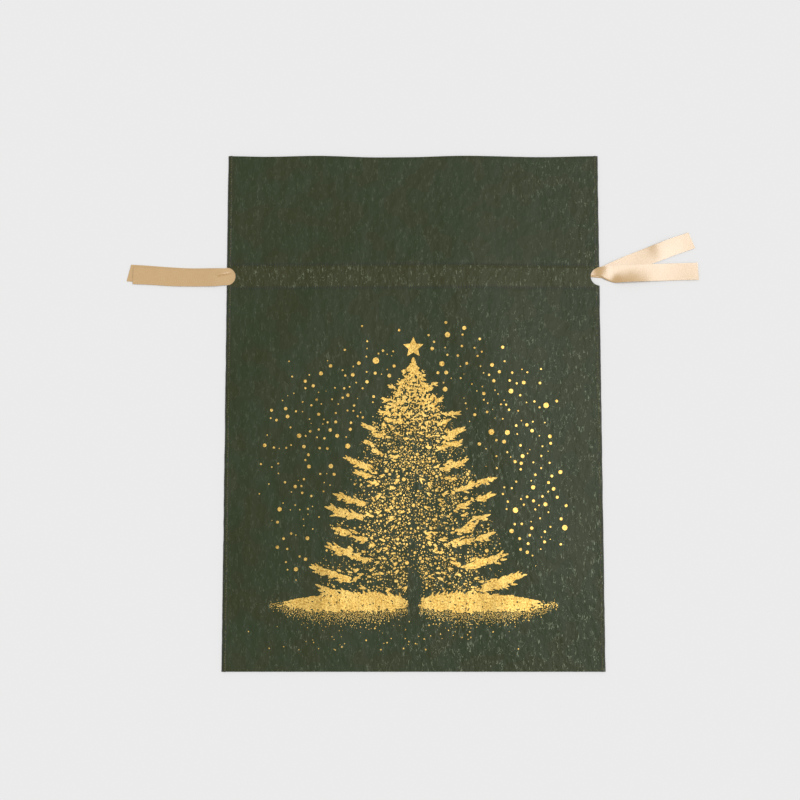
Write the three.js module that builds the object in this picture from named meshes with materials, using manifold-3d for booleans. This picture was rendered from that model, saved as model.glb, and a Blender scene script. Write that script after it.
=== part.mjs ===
// Drawstring gift sack of thin non-woven fabric, lying flat with its front facing up.
//
// Millimetres. +X is to the right, +Y is towards the mouth and +Z is up from the surface the sack
// lies on. The origin is on that surface, under the middle of the sack.
//
// One web of fabric is folded up at the bottom and folded inwards at the mouth, where it makes a
// facing inside each panel. Two rows of welds join each facing to its panel and leave a channel
// between them for a ribbon. The side seams fuse all the layers together, except at the half-round
// notches where the ribbons come out.
import * as THREE from "three";
import * as BufferGeometryUtils from "three/addons/utils/BufferGeometryUtils.js";
import Module from "manifold-3d";

// Driving dimensions.
const WIDTH = 260; // over the side seams
const LENGTH = 357; // from the bottom fold to the mouth
const FABRIC = 0.3; // one layer
const GAP = 0.25; // between layers, which touch in use
const SEAM_WIDTH = 3; // fused strip along each side
const FACING_DEPTH = 105; // from the mouth to the facing's raw edge
const CHANNEL_DROP = 86; // from the mouth to the middle of the channel
const CHANNEL_HEIGHT = 16.5; // between the middles of the two weld rows
const WELD_HEIGHT = 2.8; // of one weld row
const NOTCH_RADIUS = 6.25;
const RIBBON_WIDTH = 12;
const RIBBON_THICKNESS = 0.2;
const RIBBON_LENGTH = 402;
const RIBBON_CLEARANCE = 0.3; // beside the ribbon where it passes the side seams
const PUFF = 6; // how far the front stands up over the hollow inside
const PUFF_HALF_WIDTH = 90; // of the level middle of the front
const PUFF_RAMP_LENGTH = 60; // over which the front rises from the bottom fold
const CHANNEL_RAMP = 3; // over which the facing steps over the ribbon

// Mesh detail.
const RAMP_STEPS = 6; // across each sloping part of the front
const FOLD_SEGMENTS = 6; // round a fold
const NOTCH_SEGMENTS = 32; // round a whole notch cutter

// Levels of the back's layers. The front's layers are the same stack turned over.
const ribbonLevel = FABRIC + GAP;
const facingLevel = FABRIC + GAP;
const facingLevelAtChannel = ribbonLevel + RIBBON_THICKNESS + GAP;
const backHeight = facingLevelAtChannel + FABRIC;
const stackHeight = 2 * backHeight + GAP;

// Places across and along the sack.
const mouthY = LENGTH / 2;
const bottomY = -LENGTH / 2;
const channelY = mouthY - CHANNEL_DROP;
const panelHalfWidth = WIDTH / 2 - SEAM_WIDTH;
const seamInnerX = panelHalfWidth + GAP;
const mouthFoldRadius = FABRIC + GAP / 2;
const bottomFoldRadius = stackHeight / 2;
const mouthFoldY = mouthY - mouthFoldRadius;
const bottomFoldY = bottomY + bottomFoldRadius;

const wasm = await Module();
wasm.setup();

// ---------------------------------------------------------------- materials

const cloth = (colour) => new THREE.MeshStandardMaterial({ color: colour, roughness: 0.75, metalness: 0 });

const satin = () => new THREE.MeshStandardMaterial({ color: 0xdcb784, roughness: 0.35, metalness: 0 });

const PANEL_GREEN = 0x414737;
const FACING_GREEN = 0x3b4032;
const WELD_GREEN = 0x565c3f;

// ---------------------------------------------------------------- geometry helpers

// Evenly spaced places from `from` to `to`, with both ends.
function spread(from, to, steps) {
  return Array.from({ length: steps + 1 }, (_, i) => from + ((to - from) * i) / steps);
}

// Places across a layer of the sack: both slopes, and the level middle as one cell.
function placesAcross() {
  const right = spread(PUFF_HALF_WIDTH, panelHalfWidth, RAMP_STEPS);
  const left = right.map((x) => -x).reverse();
  return [...left, ...right];
}

// 0 at 0, 1 at 1, level at both ends.
const ease = (t) => (1 - Math.cos(Math.PI * THREE.MathUtils.clamp(t, 0, 1))) / 2;

// How far the front stands above its level at the side seams.
function puffAt(x, y) {
  const across = ease((panelHalfWidth - Math.abs(x)) / (panelHalfWidth - PUFF_HALF_WIDTH));
  const along = ease((y - bottomFoldY) / PUFF_RAMP_LENGTH);
  return PUFF * across * along;
}

function eachVertex(geometry, change) {
  const places = geometry.attributes.position;
  const point = new THREE.Vector3();
  for (let i = 0; i < places.count; i++) {
    point.fromBufferAttribute(places, i);
    change(point);
    places.setXYZ(i, point.x, point.y, point.z);
  }
  return geometry;
}

// A flat layer with its vertices at the given places across and along it.
function layer(xs, ys, level, thickness) {
  const columns = xs.length - 1;
  const rows = ys.length - 1;
  const geometry = new THREE.BoxGeometry(columns, rows, thickness, columns, rows, 1);
  return eachVertex(geometry, (point) => {
    point.x = xs[Math.round(point.x + columns / 2)];
    point.y = ys[Math.round(point.y + rows / 2)];
    point.z += level + thickness / 2;
  });
}

// A profile drawn in Y and Z, carried across the sack with its vertices at the given places.
function acrossSack(profile, xs) {
  const steps = xs.length - 1;
  const geometry = new THREE.ExtrudeGeometry(profile, {
    depth: steps,
    steps,
    bevelEnabled: false,
    curveSegments: FOLD_SEGMENTS,
  });
  const alongX = new THREE.Vector3(1, 0, 0);
  const alongY = new THREE.Vector3(0, 1, 0);
  const alongZ = new THREE.Vector3(0, 0, 1);
  geometry.applyMatrix4(new THREE.Matrix4().makeBasis(alongY, alongZ, alongX));
  return eachVertex(geometry, (point) => {
    point.x = xs[Math.round(point.x)];
  });
}

// Turns a layer of the back over to make the front's, and lifts it over the hollow inside.
function turnedToFront(geometry) {
  geometry.rotateY(Math.PI);
  return eachVertex(geometry, (point) => {
    point.z += stackHeight + puffAt(point.x, point.y);
  });
}

// ---------------------------------------------------------------- booleans

function toManifold(geometry) {
  const bare = geometry.clone();
  bare.deleteAttribute("normal");
  bare.deleteAttribute("uv");
  const merged = BufferGeometryUtils.mergeVertices(bare, 1e-4);
  return new wasm.Manifold(
    new wasm.Mesh({
      numProp: 3,
      vertProperties: new Float32Array(merged.attributes.position.array),
      triVerts: new Uint32Array(merged.index.array),
    }),
  );
}

function toGeometry(manifold) {
  const { vertProperties, triVerts } = manifold.getMesh();
  const geometry = new THREE.BufferGeometry();
  geometry.setAttribute("position", new THREE.BufferAttribute(vertProperties, 3));
  geometry.setIndex(new THREE.BufferAttribute(triVerts, 1));
  geometry.computeVertexNormals();
  return geometry;
}

// Cuts the half-round notch out of both sides of a layer.
function notched(geometry) {
  let body = toManifold(geometry);
  for (const side of [-1, 1]) {
    const height = 4 * (stackHeight + PUFF);
    const cutter = new THREE.CylinderGeometry(NOTCH_RADIUS, NOTCH_RADIUS, height, NOTCH_SEGMENTS);
    cutter.rotateX(Math.PI / 2);
    cutter.translate((side * WIDTH) / 2, channelY, 0);
    body = body.subtract(toManifold(cutter));
  }
  return toGeometry(body);
}

// ---------------------------------------------------------------- layers of the sack

function backPanel() {
  const ys = [bottomFoldY + GAP, mouthFoldY - GAP];
  return layer(placesAcross(), ys, 0, FABRIC);
}

// The front panel, with rows of vertices where it rises from the bottom fold. Its lower end keeps
// clear of the fold while it turns about it.
function frontPanel() {
  const rampEnd = bottomFoldY + PUFF_RAMP_LENGTH;
  const ys = [...spread(bottomFoldY + 2 * GAP, rampEnd, RAMP_STEPS), mouthFoldY - GAP];
  return turnedToFront(layer(placesAcross(), ys, 0, FABRIC));
}

// The half-ring of fabric at the bottom, open towards the mouth.
function bottomFold() {
  const profile = new THREE.Shape();
  const inner = bottomFoldRadius - FABRIC;
  profile.absarc(bottomFoldY, bottomFoldRadius, bottomFoldRadius, Math.PI / 2, (3 * Math.PI) / 2, false);
  profile.absarc(bottomFoldY, bottomFoldRadius, inner, (3 * Math.PI) / 2, Math.PI / 2, true);
  return acrossSack(profile, placesAcross());
}

// The facing turned in at the mouth: the fold, then the layer that steps over the ribbon between
// the two rows of welds and ends in a raw edge.
function facing() {
  const rawEdgeY = mouthY - FACING_DEPTH;
  const raisedHalf = (CHANNEL_HEIGHT + WELD_HEIGHT) / 2 + GAP;
  const steps = [
    [rawEdgeY, facingLevel],
    [channelY - raisedHalf - CHANNEL_RAMP, facingLevel],
    [channelY - raisedHalf, facingLevelAtChannel],
    [channelY + raisedHalf, facingLevelAtChannel],
    [channelY + raisedHalf + CHANNEL_RAMP, facingLevel],
  ];
  const profile = new THREE.Shape();
  profile.moveTo(...steps[0]);
  for (const [y, z] of steps.slice(1)) {
    profile.lineTo(y, z);
  }
  const quarter = Math.PI / 2;
  profile.absarc(mouthFoldY, mouthFoldRadius, mouthFoldRadius - FABRIC, quarter, -quarter, true);
  profile.absarc(mouthFoldY, mouthFoldRadius, mouthFoldRadius, -quarter, quarter, false);
  for (const [y, z] of [...steps].reverse()) {
    profile.lineTo(y, z + FABRIC);
  }
  return acrossSack(profile, placesAcross());
}

// One row of welds, in the thickness between a panel and its facing.
function weldRow(side) {
  const middle = channelY + (side * CHANNEL_HEIGHT) / 2;
  const ys = [middle - WELD_HEIGHT / 2, middle + WELD_HEIGHT / 2];
  return layer(placesAcross(), ys, ribbonLevel, RIBBON_THICKNESS);
}

// A ribbon straight through the channel, with a tail past each side seam.
function ribbon() {
  const end = RIBBON_LENGTH / 2;
  const xs = [-end, ...placesAcross(), end];
  const ys = [channelY - RIBBON_WIDTH / 2, channelY + RIBBON_WIDTH / 2];
  return layer(xs, ys, ribbonLevel, RIBBON_THICKNESS);
}

// The fused strip along one side, above or below the ribbons.
function sideSeam(side, fromY, toY) {
  const xs = [side * seamInnerX, (side * WIDTH) / 2].sort((a, b) => a - b);
  return layer(xs, [fromY, toY], 0, stackHeight);
}

// ---------------------------------------------------------------- assembly

const group = new THREE.Group();

function add(name, geometry, material) {
  const mesh = new THREE.Mesh(geometry, material);
  mesh.name = name;
  group.add(mesh);
}

add("back_panel", notched(backPanel()), cloth(PANEL_GREEN));
add("back_facing", notched(facing()), cloth(FACING_GREEN));
add("back_upper_weld_row", weldRow(1), cloth(WELD_GREEN));
add("back_lower_weld_row", weldRow(-1), cloth(WELD_GREEN));
add("back_ribbon", ribbon(), satin());

add("front_panel", notched(frontPanel()), cloth(PANEL_GREEN));
add("front_facing", notched(turnedToFront(facing())), cloth(FACING_GREEN));
add("front_upper_weld_row", turnedToFront(weldRow(1)), cloth(WELD_GREEN));
add("front_lower_weld_row", turnedToFront(weldRow(-1)), cloth(WELD_GREEN));
add("front_ribbon", turnedToFront(ribbon()), satin());

add("bottom_fold", bottomFold(), cloth(PANEL_GREEN));

const ribbonGap = RIBBON_WIDTH / 2 + RIBBON_CLEARANCE;
for (const [hand, side] of [["left", -1], ["right", 1]]) {
  add(`${hand}_upper_side_seam`, sideSeam(side, channelY + ribbonGap, mouthY), cloth(WELD_GREEN));
  add(`${hand}_lower_side_seam`, sideSeam(side, bottomY, channelY - ribbonGap), cloth(WELD_GREEN));
}

export default group;
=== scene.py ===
"""A flat drawstring gift sack of dark green non-woven fabric with gold satin ribbons and a foil print.

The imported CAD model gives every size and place. Its soft solids are replaced here by fabric: one web
of cloth each for the front and the back, the bottom fold, fused side seams, weld marks, two ribbons
and the foil. All lengths are in metres, in the frame's axes.
"""
import math

import bpy
import numpy as np
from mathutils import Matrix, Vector


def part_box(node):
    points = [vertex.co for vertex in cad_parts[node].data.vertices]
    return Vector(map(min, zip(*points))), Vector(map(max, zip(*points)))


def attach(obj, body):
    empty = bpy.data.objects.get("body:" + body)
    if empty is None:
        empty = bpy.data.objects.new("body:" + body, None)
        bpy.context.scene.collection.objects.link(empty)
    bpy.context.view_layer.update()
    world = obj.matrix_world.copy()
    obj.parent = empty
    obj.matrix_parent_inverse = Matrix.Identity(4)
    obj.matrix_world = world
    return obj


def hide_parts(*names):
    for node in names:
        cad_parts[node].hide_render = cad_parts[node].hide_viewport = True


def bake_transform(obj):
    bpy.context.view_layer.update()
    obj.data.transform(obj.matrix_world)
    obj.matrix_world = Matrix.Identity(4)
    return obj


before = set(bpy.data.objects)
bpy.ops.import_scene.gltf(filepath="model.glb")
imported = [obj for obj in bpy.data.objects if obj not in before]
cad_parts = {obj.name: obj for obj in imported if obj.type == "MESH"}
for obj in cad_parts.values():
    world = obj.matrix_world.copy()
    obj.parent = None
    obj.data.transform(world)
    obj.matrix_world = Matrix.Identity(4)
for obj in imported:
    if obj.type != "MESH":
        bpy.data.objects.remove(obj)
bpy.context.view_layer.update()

MM = 0.001


# ---- sizes and places from the frame


def corners(node):
    """A node's lowest and highest corners as vectors."""
    low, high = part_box(node)
    return Vector(low), Vector(high)


lower_seam_low, lower_seam_high = corners("right_lower_side_seam")
upper_seam_low, upper_seam_high = corners("right_upper_side_seam")
ribbon_low, ribbon_high = corners("front_ribbon")
weld_low, weld_high = corners("front_upper_weld_row")

HALF_WIDTH = lower_seam_high.x
SEAM_WIDTH = lower_seam_high.x - lower_seam_low.x
BOTTOM_Y = lower_seam_low.y
MOUTH_Y = upper_seam_high.y
LENGTH = MOUTH_Y - BOTTOM_Y
CHANNEL_Y = (ribbon_low.y + ribbon_high.y) / 2
NOTCH_RADIUS = (upper_seam_low.y - lower_seam_high.y) / 2
RIBBON_WIDTH = ribbon_high.y - ribbon_low.y
WELD_HEIGHT = weld_high.y - weld_low.y
WELD_OFFSET = (weld_low.y + weld_high.y) / 2 - CHANNEL_Y
FACING_EDGE_Y = corners("front_facing")[0].y
PUFF = corners("front_panel")[1].z - lower_seam_high.z

# Real thicknesses of the layers, which the CAD frame shows thicker and further apart.
CLOTH = 0.22 * MM
RIBBON_CLOTH = 0.16 * MM
LAYER_GAP = 0.05 * MM
EDGE_HEIGHT = 1.3 * MM  # top of the front at the side seams
FOLD_RADIUS = (CLOTH + LAYER_GAP) / 2  # of the middle of the cloth, round the fold at the mouth
RIBBON_RISE = 0.15 * MM  # how far a ribbon lifts the cloth over it
CHANNEL_STEP = RIBBON_CLOTH + LAYER_GAP - RIBBON_RISE  # how far it pushes the facing away


def smooth(t):
    """0 up to 0 and 1 from 1, level at both ends."""
    t = np.clip(t, 0.0, 1.0)
    return t * t * (3 - 2 * t)


# ---- seeded noise and grids


def blurred(values, sigmas):
    """values blurred by a Gaussian of so many rows and columns, wrapping round at the edges."""
    for axis, sigma in enumerate(sigmas):
        reach = max(1, math.ceil(3 * sigma))
        offsets = np.arange(-reach, reach + 1)
        kernel = np.exp(-0.5 * (offsets / sigma) ** 2)
        shares = kernel / kernel.sum()
        values = sum(share * np.roll(values, offset, axis) for offset, share in zip(offsets, shares))
    return values


def noise(shape, sigmas, seed):
    """Smooth noise with mean 0 and deviation 1."""
    values = blurred(np.random.default_rng(seed).normal(size=shape), sigmas)
    return (values - values.mean()) / values.std()


def sampled(values, xs, ys, x, y):
    """values, given at every xs and ys, read at the points x, y between them."""
    i = np.clip(np.searchsorted(xs, x) - 1, 0, len(xs) - 2)
    j = np.clip(np.searchsorted(ys, y) - 1, 0, len(ys) - 2)
    a = np.clip((x - xs[i]) / (xs[i + 1] - xs[i]), 0, 1)
    b = np.clip((y - ys[j]) / (ys[j + 1] - ys[j]), 0, 1)
    low = values[j, i] * (1 - a) + values[j, i + 1] * a
    high = values[j + 1, i] * (1 - a) + values[j + 1, i + 1] * a
    return low * (1 - b) + high * b


def spread(low, high, pitch):
    """Even places from low to high, about pitch apart."""
    return np.linspace(low, high, round((high - low) / pitch) + 1)


def grid_quads(index, closed=False):
    """The four-cornered faces of a grid of vertex numbers, which closes round on itself or not."""
    if closed:
        index = np.column_stack([index, index[:, 0]])
    quads = np.stack([index[:-1, :-1], index[:-1, 1:], index[1:, 1:], index[1:, :-1]], axis=-1)
    return quads.reshape(-1, 4)


def in_scene(name, data):
    """A new object, linked to the scene."""
    thing = bpy.data.objects.new(name, data)
    bpy.context.scene.collection.objects.link(thing)
    return thing


# ---- the lie of the front, by simulation

SIM_PITCH = 5 * MM
SIM_FRAMES = 36
SIM_X = spread(-HALF_WIDTH, HALF_WIDTH, SIM_PITCH)
SIM_Y = spread(BOTTOM_Y, MOUTH_Y, SIM_PITCH)
SLACK = 0.0035  # how much larger the cloth is than its frame, as a share
WRINKLE_SHARE = 0.42  # of the simulated wrinkles that stay once the sack is smoothed out by hand
RISE_SHARE = 0.8  # of the simulated height that stays
CLOTH_SETTINGS = dict(
    quality=8, mass=0.1, vertex_group_mass="held", tension_stiffness=40, compression_stiffness=40,
    shear_stiffness=10, bending_stiffness=0.4, shrink_min=-SLACK, air_damping=4, use_pressure=True,
    uniform_pressure_force=0.25,
)


def pillow(x, y):
    """A plain rise: 0 at the sides and the bottom, level in the middle, and low at the mouth."""
    across = np.sin(np.pi / 2 * np.clip((HALF_WIDTH - np.abs(x)) / (0.75 * HALF_WIDTH), 0, 1))
    along = np.sin(np.pi / 2 * np.clip((y - BOTTOM_Y) / (0.3 * LENGTH), 0, 1))
    mouth = 1 - 0.85 * smooth(1 - (MOUTH_Y - y) / (0.25 * LENGTH))
    return 0.7 * PUFF * (across * along) ** 1.3 * mouth


def slack_sheet(name):
    """A grid of the front's size, held at its sides and bottom, a little larger than its frame."""
    x, y = np.meshgrid(SIM_X, SIM_Y)
    rise = pillow(x, y)
    z = rise + noise(x.shape, (3, 3), 11) * 0.4 * MM * smooth(rise / PUFF)
    index = np.arange(x.size).reshape(x.shape)
    mesh = bpy.data.meshes.new(name)
    vertices = np.stack([x, y, z], axis=-1).reshape(-1, 3)
    mesh.from_pydata(vertices.tolist(), [], grid_quads(index).tolist())
    sheet = in_scene(name, mesh)
    held = sheet.vertex_groups.new(name="held")
    edge = np.unique(np.concatenate([index[0], index[:, 0], index[:, -1]]))
    held.add(edge.tolist(), 1.0, "REPLACE")
    return sheet


def simulated_rise():
    """Heights on SIM_X and SIM_Y of the slack sheet, lifted by the air inside it."""
    scene = bpy.context.scene
    sheet = slack_sheet("settling_front")
    cloth = sheet.modifiers.new("cloth", "CLOTH")
    for key, value in CLOTH_SETTINGS.items():
        setattr(cloth.settings, key, value)
    cloth.settings.effector_weights.gravity = 0
    cloth.point_cache.frame_start = 1
    cloth.point_cache.frame_end = SIM_FRAMES
    for number in range(1, SIM_FRAMES + 1):
        scene.frame_set(number)
    settled = sheet.evaluated_get(bpy.context.evaluated_depsgraph_get()).to_mesh()
    places = np.empty(len(settled.vertices) * 3)
    settled.vertices.foreach_get("co", places)
    scene.frame_set(1)
    bpy.data.objects.remove(sheet)
    return places.reshape(len(SIM_Y), len(SIM_X), 3)[:, :, 2]


def mirrored_blur(values, sigma):
    """values blurred with their edges held, by turning the field over at each edge."""
    rows, columns = values.shape
    padded = np.pad(values, ((rows, rows), (columns, columns)), "reflect", reflect_type="odd")
    return blurred(padded, (sigma, sigma))[rows : 2 * rows, columns : 2 * columns]


def settled_rise():
    """The simulated lie with its wrinkles eased, held at its edges and a little lower on the left."""
    x, y = np.meshgrid(SIM_X, SIM_Y)
    rise = simulated_rise()
    broad = mirrored_blur(rise, 5)
    eased = broad + WRINKLE_SHARE * (rise - broad)
    edge = 3 * SIM_PITCH
    hold = smooth((HALF_WIDTH - np.abs(x)) / edge) * smooth((y - BOTTOM_Y) / edge)
    shut = 1 - 0.8 * smooth(1 - (MOUTH_Y - y) / (0.2 * LENGTH))
    lean = 0.7 + 0.3 * smooth(0.35 + x / HALF_WIDTH)
    return np.clip(RISE_SHARE * lean * eased, 0, PUFF + 2 * MM) * hold * shut


RISE = settled_rise()


# ---- heights of the layers

HELD_BAND = 8 * MM  # beside the side seams, where they hold the cloth smooth
WELD_DEPTH = 0.09 * MM
BACK_LIFT = 0.16 * MM  # of the back over the surface it lies on, clear of the side seams
CRINKLE_PITCH = 1 * MM
CRINKLE_X = spread(-HALF_WIDTH, HALF_WIDTH, CRINKLE_PITCH)
CRINKLE_Y = spread(BOTTOM_Y, MOUTH_Y, CRINKLE_PITCH)
CRINKLE_SHAPE = (len(CRINKLE_Y), len(CRINKLE_X))
# Fine creases that run along the sack, and softer dents between them.
CRINKLE = 0.035 * MM * noise(CRINKLE_SHAPE, (5, 1.3), 21) + 0.05 * MM * noise(CRINKLE_SHAPE, (9, 5), 22)


def in_ribbon(y):
    """1 over the ribbon, 0 clear of it."""
    return smooth((RIBBON_WIDTH / 2 + 0.8 * MM - np.abs(y - CHANNEL_Y)) / (1.2 * MM))


def in_weld(y):
    """1 along the middle of a weld row, 0 clear of it."""
    away = np.abs(np.abs(y - CHANNEL_Y) - WELD_OFFSET)
    return smooth((WELD_HEIGHT / 2 + 0.6 * MM - away) / (1.2 * MM))


def crinkled(x, y):
    """Height of the fine creases."""
    return sampled(CRINKLE, CRINKLE_X, CRINKLE_Y, x, y)


def free(x):
    """0 at the side seams and 1 clear of them."""
    return smooth((HALF_WIDTH - np.abs(x)) / HELD_BAND)


def front_top(x, y):
    """Height of the front panel's outer face."""
    rise = sampled(RISE, SIM_X, SIM_Y, x, y)
    channel = RIBBON_RISE * in_ribbon(y) - WELD_DEPTH * in_weld(y)
    return EDGE_HEIGHT + rise + free(x) * crinkled(x, y) + channel


def back_top(x, y):
    """Height of the back panel's inner face, where it lies on the surface."""
    return CLOTH + free(x) * (BACK_LIFT + np.clip(crinkled(x, y), -0.14 * MM, 0.14 * MM))


# ---- sheets

EDGE_BAND = 20 * MM  # beside each side edge, where the columns crowd together at a notch
SEAM_COVER = 1 * MM  # how far the fused rim stands out past the panels


def half_width_at(y):
    """Half the width of a panel at y, which the notches narrow."""
    from_middle = np.abs(y - CHANNEL_Y)
    depth = np.sqrt(np.clip(NOTCH_RADIUS**2 - from_middle**2, 0, None))
    return HALF_WIDTH - np.maximum(depth, SEAM_COVER)


def panel_rows(low, high, pitch):
    """Places along a panel: even, closer over the channel, and round the arc of the notches."""
    near = NOTCH_RADIUS + 7 * MM
    fine = 0.7 * MM
    arc = CHANNEL_Y + NOTCH_RADIUS * np.sin(np.radians(np.arange(-90, 91, 9)))
    rows = [spread(low, CHANNEL_Y - near, pitch), spread(CHANNEL_Y + near, high, pitch), arc]
    for side in (-1, 1):
        ends = sorted([CHANNEL_Y + side * (NOTCH_RADIUS + fine), CHANNEL_Y + side * (near - fine)])
        rows.append(spread(*ends, fine))
    return np.unique(np.round(np.concatenate(rows), 7))


MOUTH_WAVE_X = spread(-HALF_WIDTH, HALF_WIDTH, 5 * MM)
MOUTH_WAVE = 0.35 * MM * noise((1, len(MOUTH_WAVE_X)), (0.3, 4), 24)[0] - 0.4 * MM


def panel_grid(ys, pitch):
    """x and y of a panel's grid, with its side edges cut to the notches and its mouth a little uneven."""
    xs = spread(-HALF_WIDTH, HALF_WIDTH, pitch)
    inner = HALF_WIDTH - EDGE_BAND
    x, y = np.meshgrid(xs, ys)
    y = y + np.interp(x, MOUTH_WAVE_X, MOUTH_WAVE) * smooth(1 - (MOUTH_Y - y) / (30 * MM))
    squeeze = (half_width_at(y) - inner) / EDGE_BAND
    beyond = np.clip(np.abs(x) - inner, 0, None)
    return np.sign(x) * (np.minimum(np.abs(x), inner) + beyond * squeeze), y


def grid_normals(points):
    """Unit normals of a grid of points, by its neighbours."""
    along = np.gradient(points, axis=0)
    across = np.gradient(points, axis=1)
    normals = np.cross(across, along)
    return normals / np.linalg.norm(normals, axis=-1, keepdims=True)


def add_mesh(name, vertices, faces, uv, material):
    """An object from plain arrays, with its cloth coordinates, in metres, as a UV map."""
    mesh = bpy.data.meshes.new(name)
    mesh.from_pydata(np.asarray(vertices, float).tolist(), [], [list(map(int, face)) for face in faces])
    loops = np.empty(len(mesh.loops), dtype=np.int32)
    mesh.loops.foreach_get("vertex_index", loops)
    layer = mesh.uv_layers.new(name="cloth")
    layer.data.foreach_set("uv", np.asarray(uv, np.float32)[loops].ravel())
    mesh.polygons.foreach_set("use_smooth", np.full(len(mesh.polygons), True))
    mesh.materials.append(material)
    mesh.update()
    mesh.set_sharp_from_angle(angle=math.radians(50))
    return in_scene(name, mesh)


def sheet_mesh(name, middle, uv, thickness, material):
    """A closed sheet of cloth of the given thickness about a grid of points."""
    rows, columns = middle.shape[:2]
    offset = grid_normals(middle) * thickness / 2
    vertices = np.concatenate([(middle + offset).reshape(-1, 3), (middle - offset).reshape(-1, 3)])
    top = np.arange(rows * columns).reshape(rows, columns)
    quads = grid_quads(top)
    rim = np.concatenate([top[0, :-1], top[:-1, -1], top[-1, :0:-1], top[:0:-1, 0]])
    after = np.roll(rim, -1)
    under = rows * columns
    walls = np.stack([rim, rim + under, after + under, after], axis=-1)
    faces = np.concatenate([quads, quads[:, ::-1] + under, walls])
    return add_mesh(name, vertices, faces, np.concatenate([uv.reshape(-1, 2)] * 2), material)


def web(name, outer_middle, facing_middle, ys, pitch, inward, material):
    """A panel and its facing as one cloth, folded inwards at the mouth.

    inward is the side, in Z, that the facing lies on: -1 inside the front, 1 inside the back.
    """
    facing_ys = ys[ys >= FACING_EDGE_Y][::-1]
    x, y = panel_grid(ys, pitch)
    outer = np.stack([x, y, outer_middle(x, y)], axis=-1)
    mouth = outer[-1]
    turns = np.linspace(0, np.pi, 8)[1:-1]
    fold = np.stack([
        mouth + np.array([0, math.sin(a), inward * (1 - math.cos(a))]) * FOLD_RADIUS for a in turns
    ])
    x, y = panel_grid(facing_ys, pitch)
    facing = np.stack([x, y, facing_middle(x, y)], axis=-1)
    middle = np.concatenate([outer, fold, facing])
    step = np.linalg.norm(np.diff(middle[:, middle.shape[1] // 2], axis=0), axis=-1)
    v = BOTTOM_Y + np.concatenate([[0], np.cumsum(step)])
    uv = np.stack([middle[..., 0], np.broadcast_to(v[:, None], middle.shape[:2])], axis=-1)
    return sheet_mesh(name, middle, uv, CLOTH, material)


# ---- materials


class Nodes:
    """Short ways to add and link shader nodes in one material."""

    def __init__(self, name):
        self.material = bpy.data.materials.new(name)
        self.material.use_nodes = True
        self.tree = self.material.node_tree
        self.shader = self.tree.nodes["Principled BSDF"]

    def set(self, socket, value):
        """Links an output socket to an input, or sets the input's own value."""
        if isinstance(value, bpy.types.NodeSocket):
            self.tree.links.new(value, socket)
        else:
            socket.default_value = value

    def add(self, kind, inputs, **settings):
        """A new node with these settings and inputs."""
        node = self.tree.nodes.new(kind)
        for key, value in settings.items():
            setattr(node, key, value)
        for key, value in inputs.items():
            self.set(node.inputs[key], value)
        return node

    def maths(self, operation, a, b=0.0):
        return self.add("ShaderNodeMath", {0: a, 1: b}, operation=operation).outputs[0]

    def plus(self, a, b):
        return self.maths("ADD", a, b)

    def minus(self, a, b):
        return self.maths("SUBTRACT", a, b)

    def times(self, a, b):
        return self.maths("MULTIPLY", a, b)

    def most(self, a, b):
        return self.maths("MAXIMUM", a, b)

    def away(self, a, b):
        """How far a is from b."""
        return self.maths("ABSOLUTE", self.minus(a, b))

    def between(self, value, low, high):
        """0 where value is below low, 1 above high, smooth between."""
        inputs = {"Value": value, "From Min": low, "From Max": high}
        return self.add("ShaderNodeMapRange", inputs, interpolation_type="SMOOTHSTEP").outputs["Result"]

    def place(self, scale=(1, 1, 1), turn=0.0, shift=(0, 0, 0)):
        """The cloth coordinates, in metres, stretched, turned and moved."""
        uv = self.add("ShaderNodeUVMap", {}, uv_map="cloth").outputs["UV"]
        inputs = {"Vector": uv, "Scale": scale, "Rotation": (0, 0, turn), "Location": shift}
        return self.add("ShaderNodeMapping", inputs).outputs["Vector"]

    def noise(self, vector, scale, detail=2.0, roughness=0.5):
        """Noise from 0 to 1; scale is how often it varies in a metre."""
        inputs = {"Vector": vector, "Scale": scale, "Detail": detail, "Roughness": roughness}
        return self.add("ShaderNodeTexNoise", inputs).outputs["Fac"]

    def mix(self, share, a, b, blend="MIX"):
        """Colour a turned into b by share."""
        inputs = {0: share, 6: a, 7: b}
        return self.add("ShaderNodeMix", inputs, data_type="RGBA", blend_type=blend).outputs[2]

    def bump(self, height, distance, strength, after=None):
        """A normal bent by height, on top of the normal after."""
        inputs = {"Strength": strength, "Distance": distance, "Height": height}
        if after is not None:
            inputs["Normal"] = after
        return self.add("ShaderNodeBump", inputs).outputs["Normal"]

    def axis(self, vector, name):
        """One of a vector's parts."""
        return self.add("ShaderNodeSeparateXYZ", {0: vector}).outputs[name]

    def surface(self, **values):
        """Sets the Principled shader's inputs by name."""
        for key, value in values.items():
            self.set(self.shader.inputs[key.replace("_", " ")], value)
        return self.material


def colour(red, green, blue):
    """A linear colour from its usual 0 to 255 values."""
    def linear(value):
        share = value / 255
        return share / 12.92 if share <= 0.04045 else ((share + 0.055) / 1.055) ** 2.4
    return (linear(red), linear(green), linear(blue), 1.0)


def fibres(nodes, seed, turn, scale, thin, share):
    """A mask of fine curved fibres: level lines of a drawn-out noise, broken up by another.

    share is about the part of the cloth where they show.
    """
    shift = (seed * 0.37, seed * 0.61, 0)
    level = nodes.noise(nodes.place((1, 0.27, 1), turn, shift), scale, 1.0)
    away = nodes.away(level, 0.5)
    line = nodes.minus(1.0, nodes.between(away, thin * 0.35, thin))
    patch = nodes.noise(nodes.place((1, 0.45, 1), turn, shift), scale * 0.62, 0.0)
    edge = 0.5 + 0.13 * (1 - 2 * share)
    return nodes.times(line, nodes.between(patch, edge, edge + 0.07))


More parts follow.
